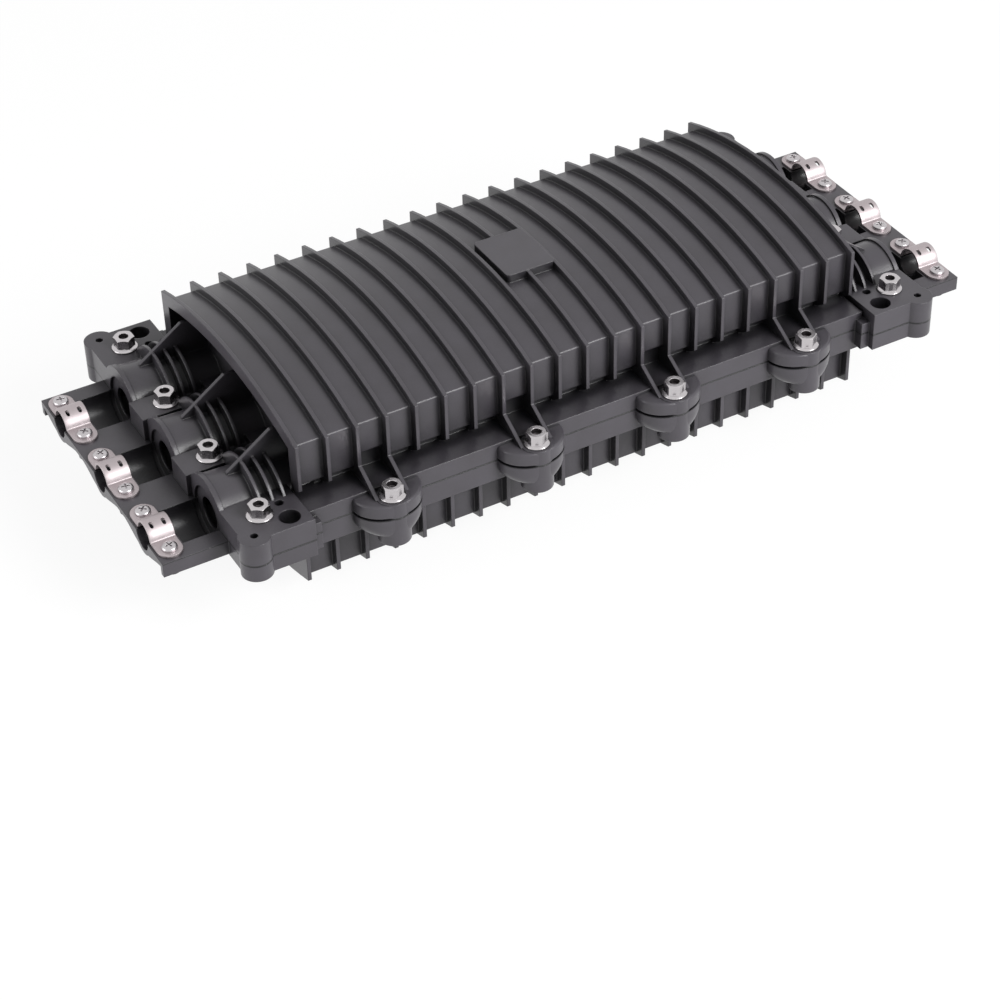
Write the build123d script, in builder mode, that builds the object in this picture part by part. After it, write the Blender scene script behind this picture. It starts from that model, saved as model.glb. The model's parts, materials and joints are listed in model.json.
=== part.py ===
from build123d import *
from math import cos, pi, sqrt
import os

os.makedirs("parts", exist_ok=True)

# Sizes are in millimetres. X runs along the box, Y across it and Z up.
# The origin is on the surface that the box stands on, under its middle.

# Fins, and the arched crests over the lid and under the base
fin_count = 21
fin_pitch = 16.5
fin_thickness = 2.0
crest_radius = 257.7
base_depth = 53.2
lid_height = 55.2

# Walls of the two shells, measured from the centre line out
lid_wall_y = 75.0
lid_fin_y = 80.0
lid_fin_rise = 4.0
lid_wall = 3.6
base_wall_y = 77.5
base_fin_y = 82.5
base_fin_drop = 1.5
base_wall = 4.0
edge_round = 1.2

# Waist of the lid, the undercut between its side panels and its rim
waist_cut = 4.0
waist_height = 5.2
lug_waist_height = 12.0
hood_overhang = 12.5

# Rim: its flange, the lugs for the side bolts and the corner blocks
rim_y = 90.3
lid_rim = 10.2
base_rim = 12.4
lug_half_width = 18.6
lug_top_half_width = 2.0
lug_reach = 104.8
lug_plate_up = 5.0
lug_boss_up = 8.8
lug_plate_down = 9.5
lug_boss_down = 17.0
lug_boss_radius = 8.6
corner_x = 167.0
corner_y = 100.0
corner_depth = 9.5
lobe_x = 198.1
lobe_y = 96.1
lobe_radius = 8.3
lobe_hole_radius = 2.0
pad_height = 12.9
pad_start_x = 184.5
pad_front_x = 207.0
pad_half_width = 9.0
deck_height = 6.5
deck_wall = 3.5

# Ports for the cables, three at each end
port_pitch = 53.6
port_radius = 15.0
dome_radius = 20.3
dome_draft = 1.7
dome_lip_rise = 1.0
dome_lip_width = 2.6
mouth_x = 204.7
ring_radius = 26.0
ring_thickness = 1.6
ring_first_x = 172.0
ring_pitch = 6.3
ring_count = 3
gusset_thickness = 2.0
gusset_foot_x = 192.5
gusset_foot_height = 21.0
gusset_bend_x = 167.5
gusset_top_height = 38.5

# Sealing combs across the ports
comb_count = 6
comb_first_x = 167.5
comb_pitch = 7.0
comb_thickness = 1.6
comb_notch_radius = 8.5
comb_half_width = 72.0
comb_depth = 6.0

# Cradles that hold the cables outside the box
cradle_x = 240.0
cradle_y = 78.5
cradle_plate = 3.0
cradle_skirt = 3.0
cradle_edge_depth = 8.0
cradle_wave_mean = 5.5
cradle_wave = 3.0
trough_radius = 14.5
trough_wall = 2.8
trough_end_x = 224.5
cable_radius = 7.0

# Cable clamps of folded sheet, and their screws
clamp_width = 15.5
clamp_sheet = 1.4
clamp_screw_y = 16.2
clamp_slot_length = 6.5
clamp_slot_width = 2.6
clamp_screw_radius = 2.0
clamp_head_radius = 4.2
clamp_head_height = 2.6
clamp_screw_length = 10.0
clamp_screw_clearance = 0.05
clamp_cable_clearance = 0.2
screw_cross_width = 1.0
screw_cross_length = 4.6
screw_cross_depth = 1.2
clamp_boss_radius = 4.6
clamp_boss_depth = 12.0

# Bolts of the lid and the threaded inserts that take them
bolt_radius = 3.0
bolt_flange_radius = 7.0
bolt_flange_height = 1.5
bolt_head_across = 10.0
bolt_head_height = 6.4
bolt_dimple_radius = 2.6
bolt_dimple_depth = 0.8
bolt_hole_radius = 3.4
bolt_socket_clearance = 1.0
bolt_reach = 9.0
insert_radius = 4.2
insert_length = 9.0
insert_running_clearance = 0.05
insert_recess = 0.2
side_bolt_pitch = 82.5
side_bolt_count = 4
side_bolt_y = 98.1
corner_bolt_x = 188.9
corner_bolt_y = 83.0
end_bolt_x = 190.0
end_bolt_y = 26.8
end_boss_radius = 7.4

# Holes at the corners for mounting the box
mount_hole_x = 176.8
mount_hole_y = 91.6
mount_hole_radius = 5.5
pin_hole_x = 176.6
pin_hole_y = 79.2
pin_hole_radius = 2.3

# Plaque on the lid, left bare
plaque_x = 2.0
plaque_y = -1.5
plaque_length = 29.0
plaque_width = 37.0
plaque_round = 2.0

# Gasket in the rim
gasket_y = 84.0
gasket_length = 318.0
gasket_width = 4.0
gasket_height = 3.0
gasket_gap = 0.3
gasket_side_clearance = 0.1

# Mounting plate in the base
cavity_x = 161.0
plate_clearance = 3.0
plate_y = 65.0
plate_level = 31.2
plate_sheet = 2.5
plate_border = 9.0
plate_screw_x = 150.0
plate_screw_y = 57.0
plate_boss_radius = 5.0
plate_window_x = 129.0
plate_window_length = 11.0
plate_window_width = 32.0
plate_panel_x = 129.0
plate_panel_y = 40.0
plate_panel_length = 20.0
plate_panel_width = 18.0
plate_panel_depth = 0.8
plate_screw_head_radius = 4.0
plate_screw_head_height = 2.4
plate_screw_radius = 1.9
plate_screw_length = 8.0

# Posts that the spare fibre is wound round
post_x = 108.0
post_pitch = 50.0
post_radius = 7.0
post_flange_radius = 9.5
post_flange = 1.8
post_height = 12.0
post_foot_radius = 11.0
post_foot_height = 3.5
post_bore_radius = 3.2

# Splice trays, their cover and the studs that hold them
tray_count = 6
tray_pitch = 10.4
tray_length = 146.0
tray_width = 78.0
tray_corner = 12.0
tray_floor = 1.6
tray_wall = 1.5
tray_notch_width = 14.0
tray_notch_pitch = 44.0
tray_hub_x = 40.0
tray_hub_radius = 15.0
tray_hub_height = 6.5
splice_length = 34.0
splice_width = 46.0
splice_groove_pitch = 6.5
splice_groove_count = 6
splice_height = 4.5
stud_x = 66.0
stud_radius = 2.0
stud_clearance = 0.2
stud_boss_radius = 4.0
stud_end = 1.0
cover_sheet = 1.6
cover_hole_radius = 4.0
cover_hole_pitch = 22.0
nut_radius = 4.5
nut_height = 3.0

# Values worked out from the sizes above
joint_z = base_depth
fin_places = [(i - (fin_count - 1) / 2) * fin_pitch for i in range(fin_count)]
shell_x = fin_places[-1] + fin_thickness / 2
inner_end_x = shell_x - hood_overhang
side_bolt_places = [(i - (side_bolt_count - 1) / 2) * side_bolt_pitch for i in range(side_bolt_count)]
side_bolts_at = [(x, side * side_bolt_y) for x in side_bolt_places for side in (-1, 1)]
corner_bolts_at = [(end * corner_bolt_x, side * corner_bolt_y) for end in (-1, 1) for side in (-1, 1)]
end_bolts_at = [(end * end_bolt_x, side * end_bolt_y) for end in (-1, 1) for side in (-1, 1)]
mount_holes_at = [(end * mount_hole_x, side * mount_hole_y) for end in (-1, 1) for side in (-1, 1)]
pin_holes_at = [(end * pin_hole_x, side * pin_hole_y) for end in (-1, 1) for side in (-1, 1)]
lobes_at = [(end * lobe_x, side * lobe_y) for end in (-1, 1) for side in (-1, 1)]
port_places = [-port_pitch, 0.0, port_pitch]
comb_places = [end * (comb_first_x + i * comb_pitch) for end in (-1, 1) for i in range(comb_count)]
clamp_x = cradle_x - clamp_width / 2
lid_crown = lid_height - lid_fin_rise
base_crown = base_depth - base_fin_drop


def across(x, up):
    """An upright plane across the box, drawn from the joint face: upwards (1) or downwards (-1)."""
    return Plane(origin=(x, 0, joint_z), x_dir=(0, up, 0), z_dir=(1, 0, 0))


def level(height):
    """A level plane at a height above the joint face, or below it where the height is negative."""
    return Plane.XY.offset(joint_z + height)


def arch_height(y, crown, radius):
    """Height of an arched crest at a distance from the centre line."""
    return crown - radius + sqrt(radius**2 - y**2)


def draw_arch(half_width, crown, radius, foot=0.0):
    """A section with straight sides and an arched crest."""
    corner = arch_height(half_width, crown, radius)
    with BuildLine() as outline:
        Polyline((half_width, corner), (half_width, foot), (-half_width, foot), (-half_width, corner))
        ThreePointArc((-half_width, corner), (0, crown), (half_width, corner))
    make_face(outline.edges())


def draw_lug(x, side):
    """The plan of one side lug: it swells smoothly out of the rim round its bolt."""
    root = side * (rim_y - 1)
    foot = side * rim_y
    tip = side * lug_reach
    with BuildLine() as outline:
        Spline((x - lug_half_width, foot), (x - lug_top_half_width, tip), tangents=((1, 0), (1, 0)))
        Line((x - lug_top_half_width, tip), (x + lug_top_half_width, tip))
        Spline((x + lug_top_half_width, tip), (x + lug_half_width, foot), tangents=((1, 0), (1, 0)))
        Polyline(
            (x + lug_half_width, foot),
            (x + lug_half_width, root),
            (x - lug_half_width, root),
            (x - lug_half_width, foot),
        )
    make_face(outline.edges())


def draw_comb():
    """One sealing rib: it crosses the end deck and the ports, with a half-round notch for each cable."""
    with Locations((0, comb_depth / 2)):
        Rectangle(2 * comb_half_width, comb_depth)
    with Locations(*[(y, 0) for y in port_places]):
        Circle(port_radius)
    with Locations(*[(y, 0) for y in port_places]):
        Circle(comb_notch_radius, mode=Mode.SUBTRACT)
    with Locations((0, -port_radius)):
        Rectangle(2 * comb_half_width, 2 * port_radius, mode=Mode.SUBTRACT)


def add_corner_blocks(height, up):
    """Blocks at the four corners, each with a round lobe at its outer corner."""
    with BuildSketch(level(0)) as plan:
        for end in (-1, 1):
            for side in (-1, 1):
                with Locations((end * (corner_x + lobe_x) / 2, side * (corner_y + port_pitch) / 2)):
                    Rectangle(lobe_x - corner_x, corner_y - port_pitch)
        with Locations(*lobes_at):
            Circle(lobe_radius)
        for end in (-1, 1):
            with Locations((end * (shell_x - 4 + mouth_x) / 2, 0)):
                Rectangle(mouth_x - shell_x + 4, 2 * lobe_y)
    extrude(plan.sketch, amount=up * height)


def cut_port_deck(up):
    """The sunk deck at each end with the half-round ports through it."""
    with BuildSketch(level(0)) as plan:
        for end in (-1, 1):
            with Locations((end * (cavity_x + mouth_x - deck_wall) / 2, 0)):
                Rectangle(mouth_x - deck_wall - cavity_x, 2 * comb_half_width)
    extrude(plan.sketch, amount=up * comb_depth, mode=Mode.SUBTRACT)
    for end in (-1, 1):
        with BuildSketch(across(end * (cavity_x - 12), up)) as bores:
            with Locations(*[(y, 0) for y in port_places]):
                Circle(port_radius)
        extrude(bores.sketch, amount=end * (mouth_x - cavity_x + 13), mode=Mode.SUBTRACT)


def add_combs(up):
    """The sealing ribs in both end decks, and the round bosses of the end bolts between them."""
    with BuildSketch(*[across(x, up) for x in comb_places]) as ribs:
        draw_comb()
    extrude(ribs.sketch, amount=comb_thickness / 2, both=True)
    with BuildSketch(level(0)) as plan:
        with Locations(*end_bolts_at):
            Circle(end_boss_radius)
    extrude(plan.sketch, amount=up * comb_depth)


def cut_round_holes(places, radius, top, depth):
    """Round upright holes of one size, cut downwards from a level."""
    with BuildSketch(level(top)) as plan:
        with Locations(*places):
            Circle(radius)
    extrude(plan.sketch, amount=-depth, mode=Mode.SUBTRACT)


# Base shell: the finned tub, its rim, the end decks and the cable cradles, moulded as one piece
with BuildPart() as base_shell:
    with BuildSketch(across(0, -1)):
        draw_arch(base_wall_y, base_crown, crest_radius - base_fin_drop)
    extrude(amount=shell_x, both=True)

    with BuildSketch(*[across(x, -1) for x in fin_places]):
        draw_arch(base_fin_y, base_depth, crest_radius, base_rim / 2)
    extrude(amount=fin_thickness / 2, both=True)

    with BuildSketch(level(0)):
        Rectangle(2 * shell_x, 2 * rim_y)
    extrude(amount=-base_rim)
    with BuildSketch(level(0)):
        for x in side_bolt_places:
            for side in (-1, 1):
                draw_lug(x, side)
    extrude(amount=-lug_plate_down)
    with BuildSketch(level(0)):
        with Locations(*side_bolts_at):
            Circle(lug_boss_radius)
    extrude(amount=-lug_boss_down)
    add_corner_blocks(corner_depth, -1)

    # Cradles: a plate with a wavy end, three troughs and bosses for the clamp screws
    with BuildSketch(level(0)):
        for end in (-1, 1):
            with Locations((end * (mouth_x - 2 + cradle_x) / 2, 0)):
                Rectangle(cradle_x - mouth_x + 2, 2 * cradle_y)
    extrude(amount=-cradle_plate)
    with BuildSketch(level(0)):
        for end in (-1, 1):
            for side in (-1, 1):
                with Locations((end * (mouth_x + cradle_x) / 2, side * (cradle_y - cradle_skirt / 2))):
                    Rectangle(cradle_x - mouth_x, cradle_skirt)
    extrude(amount=-cradle_edge_depth)
    for end in (-1, 1):
        with BuildSketch(across(end * cradle_x, -1)):
            wave = [
                (y, cradle_wave_mean + cradle_wave * cos(2 * pi * y / port_pitch))
                for y in [cradle_y * (i / 24 - 1) for i in range(49)]
            ]
            with BuildLine():
                Spline(*wave)
                Polyline(wave[-1], (cradle_y, 0), (-cradle_y, 0), wave[0])
            make_face()
        extrude(amount=-end * cradle_skirt)
        with BuildSketch(across(end * (cavity_x - 1), -1)):
            with Locations(*[(y, 0) for y in port_places]):
                Circle(trough_radius + trough_wall)
            with Locations((0, -trough_radius * 2)):
                Rectangle(4 * port_pitch, 4 * trough_radius, mode=Mode.SUBTRACT)
        extrude(amount=end * (trough_end_x + trough_wall - cavity_x))
        with BuildSketch(across(end * trough_end_x, -1)):
            with Locations(*[(y, 0) for y in port_places]):
                Circle(cable_radius + trough_wall)
            with Locations((0, -trough_radius * 2)):
                Rectangle(4 * port_pitch, 4 * trough_radius, mode=Mode.SUBTRACT)
        extrude(amount=end * (cradle_x - trough_end_x))
    clamp_screws_at = [
        (end * clamp_x, y + side * clamp_screw_y) for end in (-1, 1) for y in port_places for side in (-1, 1)
    ]
    with BuildSketch(level(0)):
        with Locations(*clamp_screws_at):
            Circle(clamp_boss_radius)
        with Locations(*end_bolts_at):
            Circle(end_boss_radius)
    extrude(amount=-clamp_boss_depth)

    # Hollow of the tub
    with BuildSketch(across(0, -1)):
        draw_arch(base_wall_y - base_wall, base_crown - base_wall, crest_radius - base_fin_drop - base_wall)
    extrude(amount=cavity_x, both=True, mode=Mode.SUBTRACT)
    cut_port_deck(-1)
    for end in (-1, 1):
        with BuildSketch(across(end * (mouth_x - 1), -1)):
            with Locations(*[(y, 0) for y in port_places]):
                Circle(trough_radius)
        extrude(amount=end * (trough_end_x - mouth_x + 1), mode=Mode.SUBTRACT)
        with BuildSketch(across(end * (trough_end_x - 1), -1)):
            with Locations(*[(y, 0) for y in port_places]):
                Circle(cable_radius)
        extrude(amount=end * (cradle_x - trough_end_x + 2), mode=Mode.SUBTRACT)
    add_combs(-1)

    # Bosses that carry the mounting plate
    with BuildSketch(Plane.XY.offset(plate_level - plate_sheet)):
        with GridLocations(2 * plate_screw_x, 2 * plate_screw_y, 2, 2):
            Circle(plate_boss_radius)
    extrude(until=Until.NEXT, dir=(0, 0, -1))

    # Grooves of the gaskets, and the holes
    with BuildSketch(level(0)):
        for side in (-1, 1):
            with Locations((0, side * gasket_y)):
                SlotOverall(
                    gasket_length + 2 * gasket_side_clearance, gasket_width + 2 * gasket_side_clearance
                )
    extrude(amount=-(gasket_height + gasket_gap), mode=Mode.SUBTRACT)
    insert_holes_at = side_bolts_at + corner_bolts_at + end_bolts_at
    cut_round_holes(insert_holes_at, insert_radius, 0, insert_length + insert_recess)
    cut_round_holes(mount_holes_at, mount_hole_radius, 0, base_depth)
    cut_round_holes(pin_holes_at, pin_hole_radius, 0, base_depth)
    cut_round_holes(lobes_at, lobe_hole_radius, 0, corner_depth)
    cut_round_holes(clamp_screws_at, clamp_screw_radius + clamp_screw_clearance, 0, clamp_screw_length)
    plate_bosses_at = [(end * plate_screw_x, side * plate_screw_y) for end in (-1, 1) for side in (-1, 1)]
    cut_round_holes(
        plate_bosses_at, plate_screw_radius + clamp_screw_clearance, plate_level - joint_z, plate_screw_length
    )
base_shell.part.label = "base_shell"
export_step(base_shell.part, "parts/base_shell.step")

# Lid shell: the finned hood, its rim, the port domes and the gussets, moulded as one piece
with BuildPart() as lid_shell:
    with BuildSketch(across(0, 1)):
        draw_arch(lid_wall_y, lid_crown, crest_radius - lid_fin_rise)
    extrude(amount=shell_x, both=True)
    long_edges = lid_shell.edges().filter_by(Axis.X).group_by(Axis.Z)[-1]
    fillet(long_edges, edge_round)

    # Waist, cut higher behind each lug so that a socket reaches its bolt
    with BuildSketch(level(lid_rim)):
        for side in (-1, 1):
            with Locations((0, side * lid_wall_y)):
                Rectangle(2 * shell_x, 2 * waist_cut)
    extrude(amount=waist_height, mode=Mode.SUBTRACT)
    with BuildSketch(level(lid_rim)):
        for x in side_bolt_places:
            for side in (-1, 1):
                with Locations((x, side * lid_wall_y)):
                    Rectangle(fin_pitch, 2 * waist_cut)
    extrude(amount=lug_waist_height, mode=Mode.SUBTRACT)

    # Fins: each ends in a pointed foot above the rim
    with BuildSketch(*[across(x, 1) for x in fin_places]):
        fin_corner = arch_height(lid_fin_y, lid_height, crest_radius)
        waist_y = lid_wall_y - waist_cut
        with BuildLine():
            Polyline(
                (lid_fin_y, fin_corner),
                (lid_fin_y, lid_rim + waist_height),
                (waist_y, lid_rim - 1),
                (-waist_y, lid_rim - 1),
                (-lid_fin_y, lid_rim + waist_height),
                (-lid_fin_y, fin_corner),
            )
            ThreePointArc((-lid_fin_y, fin_corner), (0, lid_height), (lid_fin_y, fin_corner))
        make_face()
    extrude(amount=fin_thickness / 2, both=True)

    # Rim, lugs, bolt bosses, and the gussets that brace each boss from the fins beside it
    with BuildSketch(level(0)):
        Rectangle(2 * shell_x, 2 * rim_y)
    extrude(amount=lid_rim)
    with BuildSketch(level(0)):
        for x in side_bolt_places:
            for side in (-1, 1):
                draw_lug(x, side)
    extrude(amount=lug_plate_up)
    with BuildSketch(level(0)):
        with Locations(*side_bolts_at):
            Circle(lug_boss_radius)
    extrude(amount=lug_boss_up)
    with BuildSketch(*[across(x + side * fin_pitch / 2, 1) for x in side_bolt_places for side in (-1, 1)]):
        for side in (-1, 1):
            Polygon(
                (side * (lid_wall_y - waist_cut), lid_rim - 1),
                (side * (lid_wall_y - waist_cut), lid_rim + waist_height + 4),
                (side * lid_fin_y, lid_rim + waist_height + 3),
                (side * side_bolt_y, lug_boss_up),
                (side * side_bolt_y, lug_plate_up - 1),
                align=None,
            )
    extrude(amount=fin_thickness / 2, both=True)

    # The hood overhangs its end walls, open below its arch
    for end in (-1, 1):
        with BuildSketch(across(end * inner_end_x, 1)):
            draw_arch(
                lid_wall_y - lid_wall, lid_crown - lid_wall, crest_radius - lid_fin_rise - lid_wall, lid_rim
            )
        extrude(amount=end * (hood_overhang + 1), mode=Mode.SUBTRACT)

    # Ends: a low deck, raised pads for the bolts, and a dome over each port
    add_corner_blocks(deck_height, 1)
    with BuildSketch(level(0)):
        for end in (-1, 1):
            with Locations((end * (inner_end_x - 2 + shell_x) / 2, 0)):
                Rectangle(shell_x - inner_end_x + 4, 2 * lid_wall_y)
    extrude(amount=deck_height)
    with BuildSketch(level(0)):
        for end in (-1, 1):
            for side in (-1, 1):
                with Locations((end * (pad_start_x + pad_front_x) / 2, side * end_bolt_y)):
                    Rectangle(pad_front_x - pad_start_x, 2 * pad_half_width)
                with Locations((end * (corner_x + lobe_x) / 2, side * (corner_y + port_pitch + 10) / 2)):
                    Rectangle(lobe_x - corner_x, corner_y - port_pitch - 10)
                with Locations((end * (corner_x + mouth_x) / 2, side * (lobe_y + port_pitch + 10) / 2)):
                    Rectangle(mouth_x - corner_x, lobe_y - port_pitch - 10)
        with Locations(*lobes_at):
            Circle(lobe_radius)
    extrude(amount=pad_height)
    for end in (-1, 1):
        with BuildSketch(across(end * mouth_x, 1)):
            with Locations(*[(y, 0) for y in port_places]):
                Circle(dome_radius)
        extrude(amount=-end * (mouth_x - inner_end_x + 1), taper=dome_draft)
        with BuildSketch(across(end * mouth_x, 1)):
            with Locations(*[(y, 0) for y in port_places]):
                Circle(dome_radius + dome_lip_rise)
        extrude(amount=-end * dome_lip_width)
    ring_places = [end * (ring_first_x + i * ring_pitch) for end in (-1, 1) for i in range(ring_count)]
    with BuildSketch(*[across(x, 1) for x in ring_places]):
        with Locations(*[(y, 0) for y in port_places]):
            Circle(ring_radius)
    extrude(amount=ring_thickness / 2, both=True)
    for y in port_places:
        with BuildSketch(Plane.XZ.offset(-y)):
            for end in (-1, 1):
                Polygon(
                    (end * gusset_foot_x, joint_z + port_radius + 1),
                    (end * gusset_foot_x, joint_z + gusset_foot_height),
                    (end * gusset_bend_x, joint_z + gusset_top_height),
                    (end * (inner_end_x - 1), joint_z + gusset_top_height),
                    (end * (inner_end_x - 1), joint_z + port_radius + 1),
                    align=None,
                )
        extrude(amount=gusset_thickness / 2, both=True)

    # Room for a socket round each end bolt
    cut_round_holes(end_bolts_at, bolt_flange_radius + bolt_socket_clearance, lid_crown, lid_crown - pad_height)

    # Plaque, level with the crests of the fins
    with BuildSketch(level(lid_crown - 2)):
        with Locations((plaque_x, plaque_y)):
            RectangleRounded(plaque_length, plaque_width, plaque_round)
    extrude(amount=lid_fin_rise + 2)

    # Nothing of the lid is below the joint face
    split(bisect_by=level(0), keep=Keep.TOP)

    # Hollow of the hood
    with BuildSketch(across(0, 1)):
        inner_y = lid_wall_y - lid_wall
        inner_waist_y = inner_y - waist_cut
        step = lid_rim + lug_waist_height + lid_wall
        inner_crown = lid_crown - lid_wall
        inner_radius = crest_radius - lid_fin_rise - lid_wall
        inner_corner = arch_height(inner_y, inner_crown, inner_radius)
        with BuildLine():
            Polyline(
                (inner_y, inner_corner),
                (inner_y, step),
                (inner_waist_y, step - waist_cut),
                (inner_waist_y, 0),
                (-inner_waist_y, 0),
                (-inner_waist_y, step - waist_cut),
                (-inner_y, step),
                (-inner_y, inner_corner),
            )
            ThreePointArc((-inner_y, inner_corner), (0, inner_crown), (inner_y, inner_corner))
        make_face()
    extrude(amount=inner_end_x - lid_wall, both=True, mode=Mode.SUBTRACT)
    cut_port_deck(1)
    add_combs(1)

    cut_round_holes(side_bolts_at + corner_bolts_at + end_bolts_at, bolt_hole_radius, pad_height, pad_height)
    cut_round_holes(mount_holes_at, mount_hole_radius, pad_height, pad_height)
    cut_round_holes(pin_holes_at, pin_hole_radius, pad_height, pad_height)
    cut_round_holes(lobes_at, lobe_hole_radius, pad_height, pad_height)
lid_shell.part.label = "lid_shell"
export_step(lid_shell.part, "parts/lid_shell.step")

# Gaskets, one strip along each side of the rim
for side, name in ((-1, "gasket_near"), (1, "gasket_far")):
    with BuildPart() as gasket:
        with BuildSketch(level(-gasket_height - gasket_gap)):
            with Locations((0, side * gasket_y)):
                SlotOverall(gasket_length, gasket_width)
        extrude(amount=gasket_height)
    gasket.part.label = name
    export_step(gasket.part, f"parts/{name}.step")


def add_bolts(places, seat):
    """Flanged hexagon bolts: each flange sits on the lid and each shank reaches into its insert."""
    with BuildSketch(level(-bolt_reach)) as shanks:
        with Locations(*places):
            Circle(bolt_radius)
    extrude(shanks.sketch, amount=bolt_reach + seat)
    with BuildSketch(level(seat)) as flanges:
        with Locations(*places):
            Circle(bolt_flange_radius)
    extrude(flanges.sketch, amount=bolt_flange_height, taper=20)
    with BuildSketch(level(seat)) as heads:
        with Locations(*places):
            RegularPolygon(bolt_head_across / 2, 6, major_radius=False)
    extrude(heads.sketch, amount=bolt_head_height)
    with BuildSketch(level(seat + bolt_head_height)) as dimples:
        with Locations(*places):
            Circle(bolt_dimple_radius)
    extrude(dimples.sketch, amount=-bolt_dimple_depth, mode=Mode.SUBTRACT)


def add_inserts(places):
    """Threaded inserts, pressed into the base just under the joint face."""
    with BuildSketch(level(-insert_recess)) as rings:
        with Locations(*places):
            Circle(insert_radius)
            Circle(bolt_radius + insert_running_clearance, mode=Mode.SUBTRACT)
    extrude(rings.sketch, amount=-insert_length)


# Bolts of the lid
with BuildPart() as side_bolts:
    add_bolts(side_bolts_at, lug_boss_up)
side_bolts.part.label = "side_bolts"
export_step(side_bolts.part, "parts/side_bolts.step")

with BuildPart() as corner_bolts:
    add_bolts(corner_bolts_at, pad_height)
corner_bolts.part.label = "corner_bolts"
export_step(corner_bolts.part, "parts/corner_bolts.step")

with BuildPart() as end_bolts:
    add_bolts(end_bolts_at, pad_height)
end_bolts.part.label = "end_bolts"
export_step(end_bolts.part, "parts/end_bolts.step")

# Inserts of the base
with BuildPart() as side_inserts:
    add_inserts(side_bolts_at)
side_inserts.part.label = "side_inserts"
export_step(side_inserts.part, "parts/side_inserts.step")

with BuildPart() as corner_inserts:
    add_inserts(corner_bolts_at)
corner_inserts.part.label = "corner_inserts"
export_step(corner_inserts.part, "parts/corner_inserts.step")

with BuildPart() as end_inserts:
    add_inserts(end_bolts_at)
end_inserts.part.label = "end_inserts"
export_step(end_inserts.part, "parts/end_inserts.step")

# Cable clamps: a folded sheet with a hump over the cable and a round ear at each screw
for end, end_name in ((-1, "left"), (1, "right")):
    for i, y in enumerate(port_places):
        with BuildPart() as cable_clamp:
            with BuildSketch(across(end * (cradle_x - clamp_width), 1)):
                with Locations((y, clamp_sheet / 2)):
                    Rectangle(2 * clamp_screw_y + clamp_width, clamp_sheet)
                with Locations((y, 0)):
                    Circle(cable_radius + clamp_cable_clearance + clamp_sheet)
                    Circle(cable_radius + clamp_cable_clearance, mode=Mode.SUBTRACT)
                with Locations((y, -clamp_width / 2)):
                    Rectangle(2 * clamp_width, clamp_width, mode=Mode.SUBTRACT)
            extrude(amount=end * clamp_width)
            with BuildSketch(level(0)):
                with Locations((end * clamp_x, y)):
                    SlotOverall(2 * clamp_screw_y + clamp_width, clamp_width, rotation=90)
            extrude(amount=clamp_width, mode=Mode.INTERSECT)
            with BuildSketch(level(clamp_width)):
                with Locations((end * clamp_x, y + clamp_screw_y), (end * clamp_x, y - clamp_screw_y)):
                    Circle(clamp_screw_radius + clamp_screw_clearance)
                with Locations(
                    (end * clamp_x - clamp_width / 4, y),
                    (end * clamp_x + clamp_width / 4, y),
                ):
                    SlotOverall(clamp_slot_length, clamp_slot_width, rotation=90)
            extrude(amount=-clamp_width, mode=Mode.SUBTRACT)
        cable_clamp.part.label = f"cable_clamp_{end_name}_{i + 1}"
        export_step(cable_clamp.part, f"parts/cable_clamp_{end_name}_{i + 1}.step")


def add_pan_screws(places, seat, shank_radius, length, head_radius, head_height):
    """Pan-head screws with a cross in the head, seated on a level."""
    with BuildSketch(level(seat)) as shanks:
        with Locations(*places):
            Circle(shank_radius)
    extrude(shanks.sketch, amount=-length)
    with BuildSketch(level(seat)) as heads:
        with Locations(*places):
            Circle(head_radius)
    extrude(heads.sketch, amount=head_height, taper=15)
    with BuildSketch(level(seat + head_height)) as crosses:
        with Locations(*places):
            Rectangle(screw_cross_length, screw_cross_width)
            Rectangle(screw_cross_width, screw_cross_length)
    extrude(crosses.sketch, amount=-screw_cross_depth, mode=Mode.SUBTRACT)


for end, end_name in ((-1, "left"), (1, "right")):
    with BuildPart() as clamp_screws:
        add_pan_screws(
            [place for place in clamp_screws_at if place[0] * end > 0],
            clamp_sheet,
            clamp_screw_radius,
            clamp_screw_length,
            clamp_head_radius,
            clamp_head_height,
        )
    clamp_screws.part.label = f"clamp_screws_{end_name}"
    export_step(clamp_screws.part, f"parts/clamp_screws_{end_name}.step")

# Mounting plate: a shallow pan with windows and sunk panels, screwed to the bosses of the base
plate_x = cavity_x - plate_clearance
posts_at = [(end * post_x, i * post_pitch) for end in (-1, 1) for i in (-1, 0, 1)]
studs_at = [(-stud_x, 0), (stud_x, 0)]
with BuildPart() as mounting_plate:
    with BuildSketch(Plane.XY.offset(plate_level - plate_sheet)):
        Rectangle(2 * plate_x, 2 * plate_y)
    extrude(amount=plate_sheet + plate_border)
    with BuildSketch(Plane.XY.offset(plate_level)):
        Rectangle(2 * (plate_x - plate_sheet), 2 * (plate_y - plate_sheet))
    extrude(amount=plate_border, mode=Mode.SUBTRACT)
    with BuildSketch(Plane.XY.offset(plate_level)):
        with GridLocations(2 * plate_window_x, 0, 2, 1):
            Rectangle(plate_window_length, plate_window_width)
        with GridLocations(2 * plate_screw_x, 2 * plate_screw_y, 2, 2):
            Circle(plate_screw_radius + clamp_screw_clearance)
        with Locations(*studs_at):
            Circle(stud_radius)
    extrude(amount=-plate_sheet, mode=Mode.SUBTRACT)
    with BuildSketch(Plane.XY.offset(plate_level)):
        with GridLocations(2 * plate_panel_x, 2 * plate_panel_y, 2, 2):
            Rectangle(plate_panel_length, plate_panel_width)
    extrude(amount=-plate_panel_depth, mode=Mode.SUBTRACT)
mounting_plate.part.label = "mounting_plate"
export_step(mounting_plate.part, "parts/mounting_plate.step")

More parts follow.
